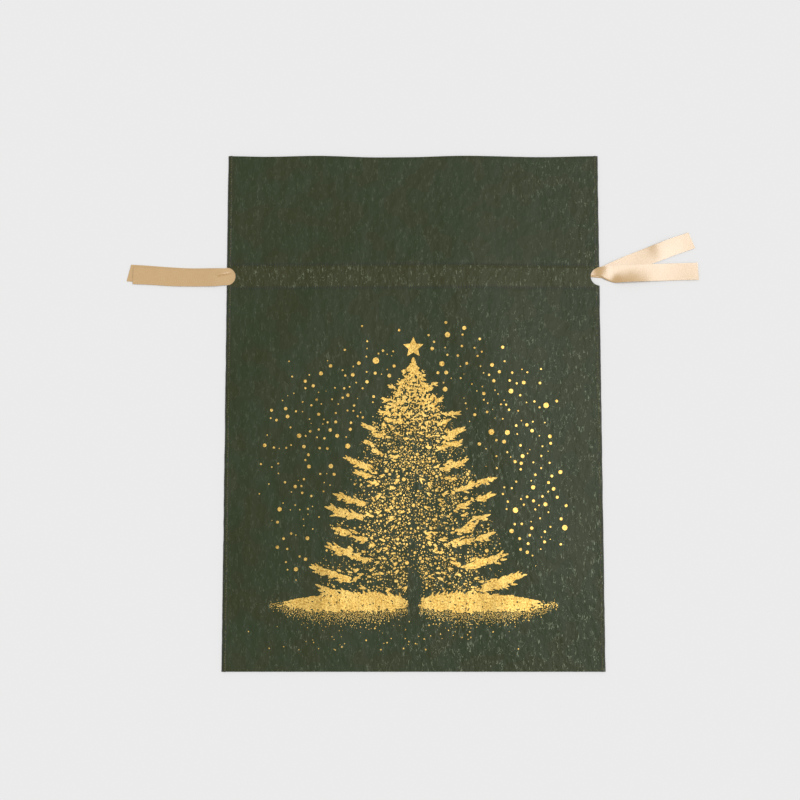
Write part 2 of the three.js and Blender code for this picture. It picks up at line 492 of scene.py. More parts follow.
def handled_and_glinting(nodes, place):
    """0 near the top left to 1 towards the right and bottom: raised fibres, and a painted glint of the key
    light from the right.
    """
    slow = nodes.minus(nodes.noise(place, 14, 1.0), 0.5)
    across = nodes.times(nodes.axis(place, "X"), 2.6)
    along = nodes.times(nodes.axis(place, "Y"), -1.5)
    total = nodes.plus(nodes.plus(across, along), slow)
    return nodes.between(total, -0.2, 0.45)


def nonwoven(name, base, lighter, brown, whole_sack=False):
    """Thin thermally bonded fabric: mottled, with pale fibres lying mostly along the web.

    whole_sack adds what varies over the front: the ribbon showing through, and raised fibres with a painted
    glint.
    The noises are, from broad to fine, the mottle, the dents, the creases and the grain.
    """
    nodes = Nodes(name)
    mottle = nodes.between(nodes.noise(nodes.place(), 48, 1.0), 0.36, 0.66)
    grain = nodes.noise(nodes.place((1, 0.35, 1)), 1500, 2.0)
    hue = nodes.mix(mottle, base, brown)
    wear_and_glint = 0.35
    if whole_sack:
        place = nodes.place()
        # Painted glint: the pale fibre marks are drawn stronger towards the right and bottom, as the key
        # light from the right glints on them there.
        wear_and_glint = handled_and_glinting(nodes, place)
        middle_y = CHANNEL_Y - 0.5 * MM
        from_middle = nodes.away(nodes.axis(place, "Y"), middle_y)
        half = RIBBON_WIDTH / 2 + 0.9 * MM  # of the band where the ribbon shows through
        band = nodes.minus(1.0, nodes.between(from_middle, half, half + 1.6 * MM))
        hue = nodes.mix(nodes.times(band, 0.62), hue, colour(55, 56, 24))
        wear_and_glint = nodes.most(wear_and_glint, nodes.times(band, 0.7))
    shade = nodes.mix(nodes.between(grain, 0.3, 0.75), (0.92, 0.92, 0.92, 1), (1.08, 1.08, 1.08, 1))
    hue = nodes.mix(1.0, hue, shade, "MULTIPLY")
    marks = fibres(nodes, 1, 0.05, 560, 0.022, 0.12)
    for layer in ((2, 0.5, 600, 0.022, 0.12), (3, -0.5, 580, 0.022, 0.12), (4, 1.1, 640, 0.02, 0.06)):
        marks = nodes.most(marks, fibres(nodes, *layer))
    strength = nodes.plus(0.16, nodes.times(wear_and_glint, 0.64))
    marks = nodes.times(marks, strength)
    hue = nodes.mix(marks, hue, lighter)
    creases = nodes.times(nodes.noise(nodes.place((1, 0.55, 1)), 380, 2.0), strength)
    dents = nodes.noise(nodes.place((1, 0.6, 1)), 120, 2.0)
    normal = nodes.bump(dents, 0.9 * MM, 0.8)
    normal = nodes.bump(creases, 0.8 * MM, 0.8, normal)
    normal = nodes.bump(marks, 0.14 * MM, 0.9, normal)
    rough = nodes.plus(0.44, nodes.times(grain, 0.16))
    return nodes.surface(
        Base_Color=hue, Roughness=rough, Normal=normal, Specular_IOR_Level=0.26,
        Sheen_Weight=0.03, Sheen_Roughness=0.4,
    )


def satin(name, base, shadow):
    """Satin ribbon: lengthwise threads, whose gloss spreads across them."""
    nodes = Nodes(name)
    threads = nodes.noise(nodes.place((0.04, 1, 1)), 5200, 1.0)
    weft = nodes.noise(nodes.place((1, 0.12, 1)), 2600, 1.0)
    slow = nodes.noise(nodes.place((1, 0.5, 1)), 60, 2.0)
    hue = nodes.mix(nodes.between(threads, 0.0, 0.8), shadow, base)
    hue = nodes.mix(nodes.times(slow, 0.25), hue, shadow)
    normal = nodes.bump(threads, 0.02 * MM, 0.1)
    normal = nodes.bump(weft, 0.02 * MM, 0.05, normal)
    rough = nodes.plus(0.25, nodes.times(weft, 0.05))
    along = nodes.add("ShaderNodeTangent", {}, direction_type="UV_MAP", uv_map="cloth")
    nodes.set(nodes.shader.inputs["Tangent"], along.outputs["Tangent"])
    return nodes.surface(
        Base_Color=hue, Roughness=rough, Normal=normal, Metallic=0.0, Specular_IOR_Level=1.0,
        Anisotropic=0.6, Anisotropic_Rotation=0.25, Sheen_Weight=0.15, Sheen_Roughness=0.3,
        Coat_Weight=0.9, Coat_Roughness=0.24,
    )


def foil(name):
    """Gold foil pressed into the fabric: bright metal with a fine uneven grain."""
    nodes = Nodes(name)
    grain = nodes.noise(nodes.place(), 800, 3.0, 0.7)
    patches = nodes.noise(nodes.place((1, 0.6, 1)), 150, 2.0)
    hue = nodes.mix(nodes.between(grain, 0.36, 0.64), colour(184, 140, 58), colour(238, 201, 112))
    pale = nodes.times(nodes.between(patches, 0.42, 0.66), 0.35)
    hue = nodes.mix(pale, hue, colour(240, 208, 124))
    normal = nodes.bump(grain, 0.16 * MM, 0.8)
    rough = nodes.plus(0.3, nodes.times(grain, 0.25))
    return nodes.surface(Base_Color=hue, Roughness=rough, Normal=normal, Metallic=0.8)


def floor_material():
    nodes = Nodes("pale_floor")
    return nodes.surface(Base_Color=(0.8, 0.8, 0.8, 1), Roughness=0.9, Specular_IOR_Level=0.0)


GREEN = colour(42, 53, 27)
BROWN = colour(46, 52, 24)
FIBRE = colour(122, 130, 106)
FRONT_CLOTH = nonwoven("front_cloth", GREEN, FIBRE, BROWN, whole_sack=True)
BACK_CLOTH = nonwoven("back_cloth", GREEN, FIBRE, BROWN)
FUSED_CLOTH = nonwoven("fused_cloth", colour(58, 59, 52), colour(110, 112, 100), colour(56, 55, 47))
WELD_MARK = nonwoven("weld_mark", colour(40, 44, 37), colour(84, 90, 80), colour(42, 42, 36))
# The seam dots' pale yellow colour is a painted glint on the raised weld points of the side seams.
DOT_GLINT_MARK = nonwoven("seam_dot_glint", colour(92, 90, 48), colour(130, 126, 76), colour(88, 84, 44))
RIBBON_SATIN = satin("ribbon_satin", colour(208, 174, 123), colour(191, 152, 99))
FOIL = foil("gold_foil")


# ---- pieces of the front


def arched(piece):
    """Bakes a piece of the front's place into its mesh and reads its vertices.
    """
    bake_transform(piece)
    places = np.empty(len(piece.data.vertices) * 3, np.float32)
    piece.data.vertices.foreach_get("co", places)


# ---- front and back

PANEL_PITCH = 2 * MM
BOTTOM_RADIUS = EDGE_HEIGHT / 2
BOTTOM_FOLD_Y = BOTTOM_Y + BOTTOM_RADIUS
MOUTH_FOLD_Y = MOUTH_Y - FOLD_RADIUS - CLOTH / 2
FRONT_ROWS = panel_rows(BOTTOM_FOLD_Y, MOUTH_FOLD_Y, PANEL_PITCH)


def front_web():
    def outer(x, y):
        return front_top(x, y) - CLOTH / 2

    def facing(x, y):
        pushed = (RIBBON_RISE + CHANNEL_STEP) * in_ribbon(y) - WELD_DEPTH * in_weld(y)
        return front_top(x, y) - CLOTH / 2 - 2 * FOLD_RADIUS - pushed

    piece = web("front_panel_web", outer, facing, FRONT_ROWS, PANEL_PITCH, -1, FRONT_CLOTH)
    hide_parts("front_panel", "front_facing")
    arched(piece)


def back_web():
    pitch = 3 * MM

    def outer(x, y):
        return back_top(x, y) - CLOTH / 2

    def facing(x, y):
        return back_top(x, y) - CLOTH / 2 + 2 * FOLD_RADIUS + (RIBBON_RISE + CHANNEL_STEP) * in_ribbon(y)

    rows = panel_rows(BOTTOM_FOLD_Y, MOUTH_FOLD_Y, pitch)
    piece = web("back_panel_web", outer, facing, rows, pitch, 1, BACK_CLOTH)
    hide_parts("back_panel", "back_facing")
    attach(piece, "back")


def bottom_fold():
    """The half-round of cloth that joins the front to the back."""
    xs = spread(-(HALF_WIDTH - SEAM_COVER), HALF_WIDTH - SEAM_COVER, PANEL_PITCH)
    turns = np.linspace(np.pi / 2, -np.pi / 2, 11)
    radius = BOTTOM_RADIUS - CLOTH / 2
    x, a = np.meshgrid(xs, turns)
    middle = np.stack([x, BOTTOM_FOLD_Y - radius * np.cos(a), BOTTOM_RADIUS + radius * np.sin(a)], axis=-1)
    uv = np.stack([x, BOTTOM_Y - radius * (np.pi / 2 - a)], axis=-1)
    piece = sheet_mesh("bottom_fold_cloth", middle, uv, CLOTH, FRONT_CLOTH)
    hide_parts("bottom_fold")
    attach(piece, "back")


# ---- welds and seams


def dome(half_width, half_length, height):
    """Vertices and faces of a low rounded mark, whose flat underside is sunk in the cloth."""
    a = np.radians(np.arange(0, 360, 45))
    ring = np.stack([np.cos(a) * half_width, np.sin(a) * half_length], axis=-1)
    levels = [(1.0, -height), (1.0, 0.0), (0.6, 0.8 * height)]
    rings = np.concatenate([np.column_stack([ring * share, np.full(len(a), z)]) for share, z in levels])
    index = np.arange(len(rings)).reshape(len(levels), len(a))
    cap = [[k, after, len(rings)] for k, after in zip(index[-1], np.roll(index[-1], -1))]
    faces = [index[0][::-1].tolist()] + grid_quads(index, closed=True).tolist() + cap
    return np.vstack([rings, (0, 0, height)]), faces


def marks(places, half_width, half_length, height, surface):
    """One dome at each x, y in places, on a surface given by its height there."""
    shape, dome_faces = dome(half_width, half_length, height)
    vertices, faces = [], []
    for x, y in places:
        first = len(vertices) * len(shape)
        at = shape + np.array([x, y, 0])
        at[:, 2] += surface(at[:, 0], at[:, 1])
        vertices.append(at)
        faces += [[first + k for k in face] for face in dome_faces]
    return np.concatenate(vertices), faces


WELD_PITCH = 1.75 * MM
TICK_HALF_WIDTH = 0.32 * MM
TICK_HEIGHT = 0.07 * MM
TICK_STRAY = 0.08 * MM  # how unevenly the ticks stand in their row


def weld_row(name, node, middle_y, surface, seed):
    """Evenly spaced ticks along a weld row, a little uneven as a roller leaves them."""
    reach = HALF_WIDTH - SEAM_WIDTH - 1 * MM
    xs = spread(-reach, reach, WELD_PITCH)
    ys = middle_y + np.random.default_rng(seed).normal(0, TICK_STRAY, len(xs))
    places = np.column_stack([xs, ys])
    vertices, faces = marks(places, TICK_HALF_WIDTH, WELD_HEIGHT / 2, TICK_HEIGHT, surface)
    piece = add_mesh(name, vertices, faces, vertices[:, :2], WELD_MARK)
    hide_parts(node)
    return piece


def weld_rows():
    def back_facing_top(x, y):
        return back_top(x, y) + 2 * FOLD_RADIUS

    for seed, (word, side) in enumerate((("upper", 1), ("lower", -1))):
        y = CHANNEL_Y + side * WELD_OFFSET
        front = weld_row(f"front_{word}_weld_ticks", f"front_{word}_weld_row", y, front_top, 31 + seed)
        arched(front)
        back = weld_row(f"back_{word}_weld_ticks", f"back_{word}_weld_row", y, back_facing_top, 41 + seed)
        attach(back, "back")


SEAM_STEP = 1.5 * MM
SEAM_SWAY = 0.35 * MM  # of the rim, which is cut a little unevenly
SEAM_TOP = EDGE_HEIGHT + 0.06 * MM
DOT_PITCH = 1.7 * MM
DOT_INSET = 2.3 * MM  # from the rim
DOT_SIZE = (0.36 * MM, 0.5 * MM, 0.12 * MM)  # half width, half length, height
DOT_SHARE = 0.7  # of the dots that took


def seam_section():
    """How far in from the rim, and how high, round a fused seam: thin at the rim, full at the cloth."""
    inner = SEAM_WIDTH + 0.2 * MM
    return np.array([
        (inner, 0.06 * MM), (0.3 * MM, 0.1 * MM), (0.0, 0.3 * MM), (0.0, 0.55 * MM),
        (0.25 * MM, 0.75 * MM), (1.0 * MM, 0.9 * MM), (1.7 * MM, 1.1 * MM), (2.3 * MM, SEAM_TOP),
        (inner - 0.3 * MM, SEAM_TOP), (inner, SEAM_TOP - 0.1 * MM),
    ])


def seam_strip(side, low_y, high_y, draw):
    """Vertices and faces of a fused strip, closed at both ends."""
    section = seam_section()
    inwards, heights = section[:, 0], section[:, 1]
    ys = spread(low_y, high_y, SEAM_STEP)
    sway = blurred(draw.normal(0, SEAM_SWAY, (len(ys), 1)), (3, 0.3))[:, 0]
    sway *= smooth((ys - low_y) / (6 * MM))
    rows = []
    for y, pull in zip(ys, np.abs(sway)):
        x = side * (HALF_WIDTH - inwards - pull * (1 - inwards / inwards.max()))
        rows.append(np.column_stack([x, np.full(len(section), y), heights]))
    index = np.arange(len(ys) * len(section)).reshape(len(ys), len(section))
    faces = grid_quads(index, closed=True).tolist() + [index[0][::-1].tolist(), index[-1].tolist()]
    if side < 0:
        faces = [face[::-1] for face in faces]
    return np.concatenate(rows), faces


def seam_dots(side, low_y, high_y, draw):
    """Vertices and faces of the faint raised dots along a fused strip; their pale colour is a painted
    glint.
    """
    ys = np.arange(low_y + DOT_PITCH, high_y - DOT_PITCH / 2, DOT_PITCH)
    ys = ys[draw.uniform(0, 1, len(ys)) < DOT_SHARE] + draw.normal(0, 0.25 * MM)
    xs = side * (HALF_WIDTH - DOT_INSET) + draw.normal(0, 0.2 * MM, len(ys))
    return marks(np.column_stack([xs, ys]), *DOT_SIZE, lambda x, y: np.full(len(x), SEAM_TOP - 0.01 * MM))


def side_seam(hand, side, word, low_y, high_y, seed):
    draw = np.random.default_rng(seed)
    strip, strip_faces = seam_strip(side, low_y, high_y, draw)
    dots, dot_faces = seam_dots(side, low_y, high_y, draw)
    vertices = np.concatenate([strip, dots])
    faces = strip_faces + [[len(strip) + k for k in face] for face in dot_faces]
    piece = add_mesh(f"{hand}_{word}_fused_seam", vertices, faces, vertices[:, :2], FUSED_CLOTH)
    piece.data.materials.append(DOT_GLINT_MARK)
    which = np.zeros(len(faces), np.int32)
    which[len(strip_faces):] = 1
    piece.data.polygons.foreach_set("material_index", which)
    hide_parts(f"{hand}_{word}_side_seam")
    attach(piece, "back")


def side_seams():
    seed = 51
    for hand, side in (("left", -1), ("right", 1)):
        side_seam(hand, side, "lower", BOTTOM_Y, CHANNEL_Y - NOTCH_RADIUS, seed)
        side_seam(hand, side, "upper", CHANNEL_Y + NOTCH_RADIUS, MOUTH_Y, seed + 1)
        seed += 2


# ---- ribbons

RIBBON_STEP = 0.5 * MM
RIBBON_ROWS = 37  # of vertices across a tail
TAIL_START = HALF_WIDTH - 10 * MM  # inside the channel, where a tail takes over from the middle
HEM_RADIUS = 0.45 * MM  # of the roll along an edge that is turned under


def eased_through(stations, s):
    """The values at s along stations of (place, value, value...), by a smooth curve through them."""
    table = np.array(stations, float)
    at, values = table[:, 0], table[:, 1:]
    slopes = np.gradient(values, at, axis=0)
    k = np.clip(np.searchsorted(at, s) - 1, 0, len(at) - 2)
    width = (at[k + 1] - at[k])[:, None]
    t = ((s - at[k])[:, None]) / width
    h00, h10 = 2 * t**3 - 3 * t**2 + 1, t**3 - 2 * t**2 + t
    h01, h11 = -2 * t**3 + 3 * t**2, t**3 - t**2
    return h00 * values[k] + h10 * width * slopes[k] + h01 * values[k + 1] + h11 * width * slopes[k + 1]


def ribbon_section(shown):
    """Across a ribbon from its far edge: how far along it lies, and how far it drops below.

    The first part, shown, lies flat. What is left rolls over and goes back underneath.
    """
    t = np.linspace(0, RIBBON_WIDTH, RIBBON_ROWS)
    over = np.clip(t - shown, 0, None)
    turn = np.clip(over / HEM_RADIUS, 0, np.pi)
    back = np.clip(over - np.pi * HEM_RADIUS, 0, None)
    along = np.minimum(t, shown) + HEM_RADIUS * np.sin(turn) - back
    drop = HEM_RADIUS * (1 - np.cos(turn))
    return along, drop


def tail_surface(side, stations):
    """Middle of a ribbon tail, through its stations.

    Each station is, in mm: x out from the sack's middle, y of the upper edge from the channel, width
    shown, height at the upper edge, height at the lower edge, and how many degrees the width is turned.
    """
    table = np.array(stations, float)
    xs = spread(table[0, 0] * MM, table[-1, 0] * MM, RIBBON_STEP)
    values = eased_through(stations, xs / MM)
    rows = []
    for x, (top_y, shown, high, low, turn) in zip(xs, values):
        along, drop = ribbon_section(min(shown * MM, RIBBON_WIDTH))
        share = np.clip(along / RIBBON_WIDTH, 0, 1)
        z = (high + (low - high) * share**2) * MM - drop
        lean = math.radians(turn)
        rows.append(np.column_stack([
            side * (x + along * math.sin(lean)),
            CHANNEL_Y + top_y * MM - along * math.cos(lean),
            z,
        ]))
    return np.stack(rows)


LEFT_FRONT = [
    (120, 6.0, 12, 0.9, 0.9, 0), (126, 6.1, 12, 0.95, 0.95, 0), (131, 5.9, 12, 1.12, 1.12, 0),
    (138, 5.3, 12, 1.38, 1.28, 0), (147, 5.1, 12, 1.15, 1.0, 0), (156, 5.1, 12, 0.9, 0.85, 0),
    (167, 5.3, 12, 0.75, 0.8, 1), (182, 6.2, 12, 0.85, 0.7, 3), (195.2, 6.8, 12, 1.0, 0.8, 2),
]
LEFT_BACK = [
    (120, 6.0, 12, 0.33, 0.33, 0), (130, 6.0, 12, 0.42, 0.42, 0), (140, 6.0, 12, 0.45, 0.4, 0),
    (155, 5.9, 12, 0.3, 0.3, 0), (172, 6.8, 12, 0.3, 0.2, 1), (188, 8.0, 12, 0.3, 0.2, 3),
    (197.0, 8.5, 12, 0.4, 0.3, 14),
]
RIGHT_FRONT = [
    (119, 6.2, 5.6, 0.95, 0.95, 0), (124, 6.3, 5.4, 1.0, 1.0, 0), (127.5, 6.4, 5.4, 1.15, 1.0, 0),
    (131, 6.6, 6.4, 1.8, 0.8, 0), (134, 6.9, 8.4, 2.05, 0.6, 0), (139, 7.4, 10.8, 2.0, 0.8, 0),
    (145, 7.8, 12, 1.8, 2.2, 1), (152, 8.1, 12, 1.5, 2.75, 2), (160, 8.5, 12, 1.2, 2.1, 2),
    (169, 8.9, 12, 0.9, 1.2, 3), (182, 9.4, 12, 0.6, 0.8, 3), (198.6, 9.8, 12.2, 0.8, 1.0, 3),
]
RIGHT_BACK = [
    (119, 6.2, 6.0, 0.5, 0.5, 0), (124, 6.2, 6.0, 0.6, 0.7, 0), (130, 6.6, 7.0, 0.9, 0.8, 6),
    (138, 10.0, 11.0, 0.8, 0.6, 16), (146, 13.6, 12, 0.62, 0.55, 20), (155, 17.3, 12, 0.5, 0.6, 20.5),
    (163, 20.4, 12, 0.65, 0.6, 20.5), (171, 23.5, 12, 1.2, 0.75, 20.5), (180, 27.0, 12, 0.95, 0.7, 21),
    (187, 29.4, 12, 0.6, 0.6, 21), (192.7, 31.4, 12, 0.5, 0.6, 22),
]
# The crease where the front's left tail is pinched at its notch: its two ends, as x and y in the same
# millimetres, and how high and how wide its edge is.
PINCH = ((140.0, -0.4), (126.0, 2.4))
PINCH_HEIGHT = 0.5
PINCH_WIDTH = 0.4


def pinched(side, middle):
    """A tail whose part above PINCH is lifted over the part below it, with a crease between them."""
    (far_x, far_y), (near_x, near_y) = PINCH
    x = side * middle[..., 0] / MM
    along = (far_x - x) / (far_x - near_x)
    above = (middle[..., 1] - CHANNEL_Y) / MM - (far_y + (near_y - far_y) * along)
    lift = smooth(above / PINCH_WIDTH) * smooth(1 - above / 5) * smooth(along / 0.5)
    lift *= smooth((x - near_x) / 9)
    crease = np.exp(-((above / PINCH_WIDTH) ** 2)) * smooth(along / 0.3) * smooth((x - near_x) / 3)
    return middle + (PINCH_HEIGHT * MM * (lift - crease))[..., None] * np.array([0, 0, 1])


def ribbon_piece(name, node, middle, along, across):
    piece = sheet_mesh(name, middle, np.stack([along, across], axis=-1), RIBBON_CLOTH, RIBBON_SATIN)
    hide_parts(node)
    return piece


def ribbon_tail(name, node, side, stations):
    middle = tail_surface(side, stations)
    if stations is LEFT_FRONT:
        middle = pinched(side, middle)
    middle[..., 2] = np.maximum(middle[..., 2], RIBBON_CLOTH / 2 + 0.02 * MM)
    along = np.concatenate([[0], np.cumsum(np.linalg.norm(np.diff(middle[:, 0], axis=0), axis=-1))])
    u, v = np.meshgrid(along, np.linspace(0, RIBBON_WIDTH, RIBBON_ROWS), indexing="ij")
    piece = ribbon_piece(name, node, middle, u, v)
    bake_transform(piece)


def ribbon_middle(name, node, surface):
    """The part of a ribbon that lies in its channel."""
    xs = spread(-TAIL_START, TAIL_START, 2 * MM)
    across = np.linspace(RIBBON_WIDTH / 2, -RIBBON_WIDTH / 2, 7)
    x, w = np.meshgrid(xs, across, indexing="ij")
    middle = np.stack([x, CHANNEL_Y + w, surface(x, CHANNEL_Y + w)], axis=-1)
    return ribbon_piece(name, node, middle, x, w)


def ribbons():
    def in_front(x, y):
        return front_top(x, y) - CLOTH - (LAYER_GAP + RIBBON_CLOTH) / 2

    def in_back(x, y):
        return back_top(x, y) + (LAYER_GAP + RIBBON_CLOTH) / 2

    arched(ribbon_middle("front_ribbon_middle", "front_ribbon", in_front))
    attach(ribbon_middle("back_ribbon_middle", "back_ribbon", in_back), "back")
    for word, left, right in (("front", LEFT_FRONT, RIGHT_FRONT), ("back", LEFT_BACK, RIGHT_BACK)):
        for hand, side, stations in (("left", -1, left), ("right", 1, right)):
            node = f"{word}_ribbon"
            ribbon_tail(f"{node}_{hand}_tail", node, side, stations)


# ---- the foil print

PRINT_PITCH = 0.36 * MM
PRINT_X = spread(-112 * MM, 112 * MM, PRINT_PITCH)
PRINT_Y = spread(-150 * MM, 60 * MM, PRINT_PITCH)
TREE_TOP = 35.6 * MM
TREE_BASE = -131 * MM
TREE_REACH = 81 * MM
STAR_RADIUS = 7.4 * MM
MOUND_OUTER = 94 * MM
MOUND_INNER = 4 * MM
MOUND_Y = -134 * MM
FOIL_LIFT = 0.05 * MM
NOISE_EDGE = 9  # grid steps over which a noise that cuts the foil goes from 0 to 1
STRAY_Y = (-164 * MM, -143 * MM)  # the band of loose specks below the mounds
SNOW_X = 112 * MM
SNOW_Y = (-128 * MM, 62 * MM)
SNOW_MIDDLE_Y = -40 * MM
SNOW_REACH = (114 * MM, 102 * MM)  # of the rounded outline where the snow ends
SNOW_COUNT = 300
SNOW_GAP = 2.1 * MM


def even_noise(shape, sigma, seed):
    """Smooth noise whose values are spread evenly from 0 to 1."""
    values = noise(shape, (sigma / PRINT_PITCH,) * 2, seed)
    return values.ravel().argsort().argsort().reshape(shape) / values.size


def window(low_x, high_x, low_y, high_y):
    """Slices of the print's grid that hold a box."""
    i = np.searchsorted(PRINT_X, (low_x, high_x))
    j = np.searchsorted(PRINT_Y, (low_y, high_y))
    return slice(max(j[0] - 1, 0), j[1] + 1), slice(max(i[0] - 1, 0), i[1] + 1)


def star_field(x, y, centre_y, radius):
    """How far inside a five-pointed star each point is, in grid steps."""
    angle = np.arctan2(x, y - centre_y)
    fold = np.abs((angle + np.pi / 5) % (2 * np.pi / 5) - np.pi / 5)
    inner = 0.46 * radius
    tip = np.array([radius, 0.0])
    valley = inner * np.array([math.cos(math.pi / 5), math.sin(math.pi / 5)])
    away = np.hypot(x, y - centre_y)
    edge = valley - tip
    outward = np.array([edge[1], -edge[0]]) / np.hypot(*edge)
    beyond = (away * np.cos(fold) - tip[0]) * outward[0] + (away * np.sin(fold) - tip[1]) * outward[1]
    return -beyond / PRINT_PITCH


def spike(field, x, y, base, tip, width):
    """Raises field to 1 along the middle of a tapering twig from base to tip, 0 at its edge."""
    low, high = np.minimum(base, tip) - width, np.maximum(base, tip) + width
    box = window(low[0], high[0], low[1], high[1])
    run = tip - base
    length = np.hypot(*run)
    dx, dy = x[box] - base[0], y[box] - base[1]
    a = (dx * run[0] + dy * run[1]) / length**2
    d = np.abs(dx * run[1] - dy * run[0]) / length
    profile = width * np.sqrt(np.clip(1 - a, 0, 1)) * smooth((a + 0.15) / 0.4)
    inside = np.where((a > -0.15) & (a < 1), 1 - d / np.maximum(profile, 1e-6), -1)
    field[box] = np.maximum(field[box], inside)


def tree_down(y):
    """How far down the tree y is, from 0 at its top to 1 at its base."""
    return np.clip((TREE_TOP - y) / (TREE_TOP - TREE_BASE), 0, 1)


def reach_at(y):
    """Half the tree's width at y."""
    down = tree_down(y)
    top = 0.6 + 0.4 * smooth(down / 0.18)
    return TREE_REACH * down**0.69 * top * (1 - 0.2 * smooth((down - 0.86) / 0.14))


def turned(way, angle):
    """A direction turned anticlockwise."""
    return np.array([
        way[0] * math.cos(angle) - way[1] * math.sin(angle),
        way[0] * math.sin(angle) + way[1] * math.cos(angle),
    ])


def branch(twigs, limbs, x, y, side, tip_y, reach, draw):
    """One branch: a limb that sags from the trunk and turns up, with a feathered pointed tip.

    twigs takes its tip, twigs and tufts, and limbs the course of its whole limb.
    """
    rise = reach * draw.uniform(0.12, 0.24)
    sag = reach * draw.uniform(0.12, 0.2)

    def limb(s):
        return np.array([side * reach * s, tip_y + rise * (1 - s) - 4 * sag * s * (1 - s)])

    def heading(s):
        way = limb(s + 0.02) - limb(s - 0.02)
        return way / np.hypot(*way)

    heavy = 0.9 * MM + 0.02 * reach
    inner = draw.uniform(0.58, 0.78)
    spike(twigs, x, y, limb(0.78), limb(1.03), heavy)
    for s in np.arange(inner + 0.08, 0.86, 0.05):
        spike(twigs, x, y, limb(s - 0.02), limb(s + 0.12), heavy * draw.uniform(0.7, 1.1))
    s = inner
    while s < 0.95:
        above = draw.choice((-1, 1))
        lean = above * side * draw.uniform(0.1, 0.6)
        fullness = min(1.0, 0.35 + (s - inner) * 3) * (1.22 - s)
        length = (1.5 * MM + 0.17 * reach * fullness) * draw.uniform(0.5, 1.25)
        base = limb(s) + np.array([0, above * draw.uniform(0, 1.0) * heavy])
        spike(twigs, x, y, base, base + turned(heading(s), lean) * length, heavy * draw.uniform(0.35, 0.65))
        s += draw.uniform(0.5, 1.5) * MM / reach
    for s in draw.uniform(0.12, inner, round(reach / (8 * MM))):
        base = limb(s) + draw.normal(0, 2.2 * MM, 2)
        tuft = turned(heading(s), side * draw.uniform(-0.3, 0.6)) * draw.uniform(2, 5) * MM
        for lean in draw.uniform(-0.5, 0.5, 3):
            spike(twigs, x, y, base, base + turned(tuft, lean), draw.uniform(0.5, 0.9) * MM)
    for s in np.linspace(0.12, inner + 0.25, 10):
        spike(limbs, x, y, limb(s - 0.1), limb(s + 0.12), heavy * 3.2)


def tree_fields(x, y):
    """The feathered tips, and the courses of the limbs, as fields that are above 0 inside."""
    draw = np.random.default_rng(77)
    twigs, limbs = np.full(x.shape, -1.0), np.full(x.shape, -1.0)
    for side in (-1, 1):
        down = 0.05
        while down < 0.96:
            tip_y = TREE_TOP - (TREE_TOP - TREE_BASE) * (down + draw.uniform(-0.008, 0.008))
            reach = reach_at(tip_y) * draw.uniform(0.8, 1.12)
            branch(twigs, limbs, x, y, side, tip_y, reach, draw)
            shorter = reach * draw.uniform(0.7, 0.86)
            branch(twigs, limbs, x, y, side, tip_y - draw.uniform(3, 6) * MM, shorter, draw)
            down += 0.042 + 0.042 * down + draw.uniform(0, 0.02)
    spike(twigs, x, y, np.array([0, TREE_TOP - 14 * MM]), np.array([0, TREE_TOP]), 3.4 * MM)
    return twigs, limbs


def mound_top(x):
    """Height of the snow's upper edge, and how full the mound is there, from 0 at its ends to 1."""
    t = np.clip((np.abs(x) - MOUND_INNER) / (MOUND_OUTER - MOUND_INNER), 0, 1)
    full = np.clip(1 - np.abs(1.85 * t - 0.85) ** 2.6, 0, 1) ** 0.8
    return MOUND_Y + 8.6 * MM * full * (1 - 0.25 * t), full


def mound_field(x, y, fine):
    """How far inside the solid part of the snow each point is, ragged below."""
    top, full = mound_top(x)
    from_top = (top - y) / PRINT_PITCH + 1.6 * (fine - 0.5)
    depth = (y - (MOUND_Y - 4.2 * MM * full)) / (1.5 * MM) + 2.4 * (fine - 0.5)
    gap = MOUND_INNER + 4 * MM * (fine - 0.5) + 0.35 * np.abs(y - MOUND_Y)
    outside = (np.abs(x) < gap) | (full < 0.03)
    return np.where(outside, -1, np.minimum(from_top, depth))


def tufts(field, x, y):
    """Short twigs that stand up out of the snow beside the trunk."""
    draw = np.random.default_rng(78)
    for side in (-1, 1):
        for out in np.arange(5.5, 64, 2.3) * MM:
            base = np.array([side * out, mound_top(out)[0] - 1 * MM])
            height = draw.uniform(1.5, 5.5) * MM * (1 - 0.75 * smooth((out - 20 * MM) / (40 * MM)))
            tip = base + np.array([side * draw.uniform(0.5, 5) * MM, height])
            spike(field, x, y, base, tip, draw.uniform(0.8, 1.5) * MM)


def solid_field(x, y, twigs):
    """The unbroken parts of the print: above 0 where there is foil, in grid steps."""
    fine = even_noise(x.shape, 0.42 * MM, 61)
    pores = even_noise(x.shape, 0.34 * MM, 68)
    inner = smooth((reach_at(y) * 0.72 - np.abs(x)) / (3 * MM))
    crown = np.clip(0.9 - 2.3 * tree_down(y), 0, 0.72) * inner
    ends = smooth((np.abs(x) - 0.8 * MOUND_OUTER) / (0.2 * MOUND_OUTER)) * (y < MOUND_Y + 8 * MM)
    field = np.where(crown > 0.02, (pores - (1 - crown)) * NOISE_EDGE, -1.0)
    field = np.maximum(field, np.where(twigs > 0, (twigs - 0.5 * (fine < 0.14)) * 4, -1))
    field = np.maximum(field, mound_field(x, y, fine))
    field = np.maximum(field, star_field(x, y, TREE_TOP + 6.6 * MM, STAR_RADIUS))
    field = np.minimum(field, (pores - (0.05 + 0.55 * ends) * (y < TREE_TOP)) * NOISE_EDGE)
    field = np.clip(field, -1, 1)
    field[0], field[-1], field[:, 0], field[:, -1] = -1, -1, -1, -1
    return field


